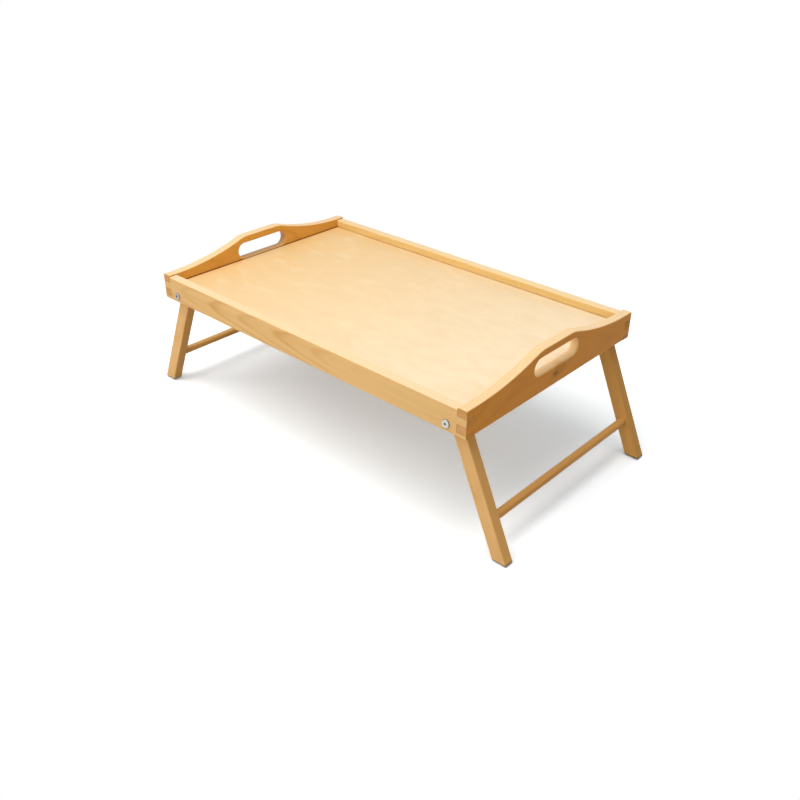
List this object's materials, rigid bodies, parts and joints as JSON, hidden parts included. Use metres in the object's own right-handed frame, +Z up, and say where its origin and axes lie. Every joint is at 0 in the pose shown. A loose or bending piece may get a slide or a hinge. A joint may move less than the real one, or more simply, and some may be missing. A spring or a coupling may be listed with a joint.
{
  "type": "folding bed tray table",
  "caption": "Folding wooden bed tray table: a box-jointed frame with hand slots in its humped ends round a plywood top, on two splayed leg frames that fold flat under it.",
  "frame": {"origin": "on the surface that the feet stand on, under the middle of the tray", "axes": "+X along the tray towards the right end panel, +Y across it towards the back rail, +Z up"},
  "size_m": [0.6008, 0.3132, 0.1955],
  "materials": {
    "rail_wood": "clear-lacquered pale hardwood, straight grain along the rail",
    "panel_wood": "clear-lacquered pale hardwood, grain along the panel",
    "plywood": "smooth sanded and lacquered birch-like plywood face",
    "leg_wood": "clear-lacquered pale hardwood, grain along the leg",
    "crossbar_wood": "clear-lacquered hardwood dowel",
    "steel": "zinc-bright turned steel"
  },
  "bodies": {
    "tray": {"front_rail": "rail_wood", "back_rail": "rail_wood", "left_end_panel": "panel_wood", "right_end_panel": "panel_wood", "tray_panel": "plywood", "left_front_pivot_sleeve": "steel", "left_front_pivot_screw": "steel", "left_front_pivot_washer": "steel", "left_back_pivot_sleeve": "steel", "left_back_pivot_screw": "steel", "left_back_pivot_washer": "steel", "right_front_pivot_sleeve": "steel", "right_front_pivot_screw": "steel", "right_front_pivot_washer": "steel", "right_back_pivot_sleeve": "steel", "right_back_pivot_screw": "steel", "right_back_pivot_washer": "steel"},
    "left_leg_frame": {"left_front_leg": "leg_wood", "left_back_leg": "leg_wood", "left_crossbar": "crossbar_wood"},
    "right_leg_frame": {"right_front_leg": "leg_wood", "right_back_leg": "leg_wood", "right_crossbar": "crossbar_wood"}
  },
  "joints": [
    {"name": "left_legs_fold", "type": "hinge", "parent": "tray", "child": "left_leg_frame", "pos_m": [-0.22436, 0, 0.152], "axis": [0, -1, 0], "range_deg": [0, 114]},
    {"name": "right_legs_fold", "type": "hinge", "parent": "tray", "child": "right_leg_frame", "pos_m": [0.22436, 0, 0.152], "axis": [0, 1, 0], "range_deg": [0, 114]}
  ]
}
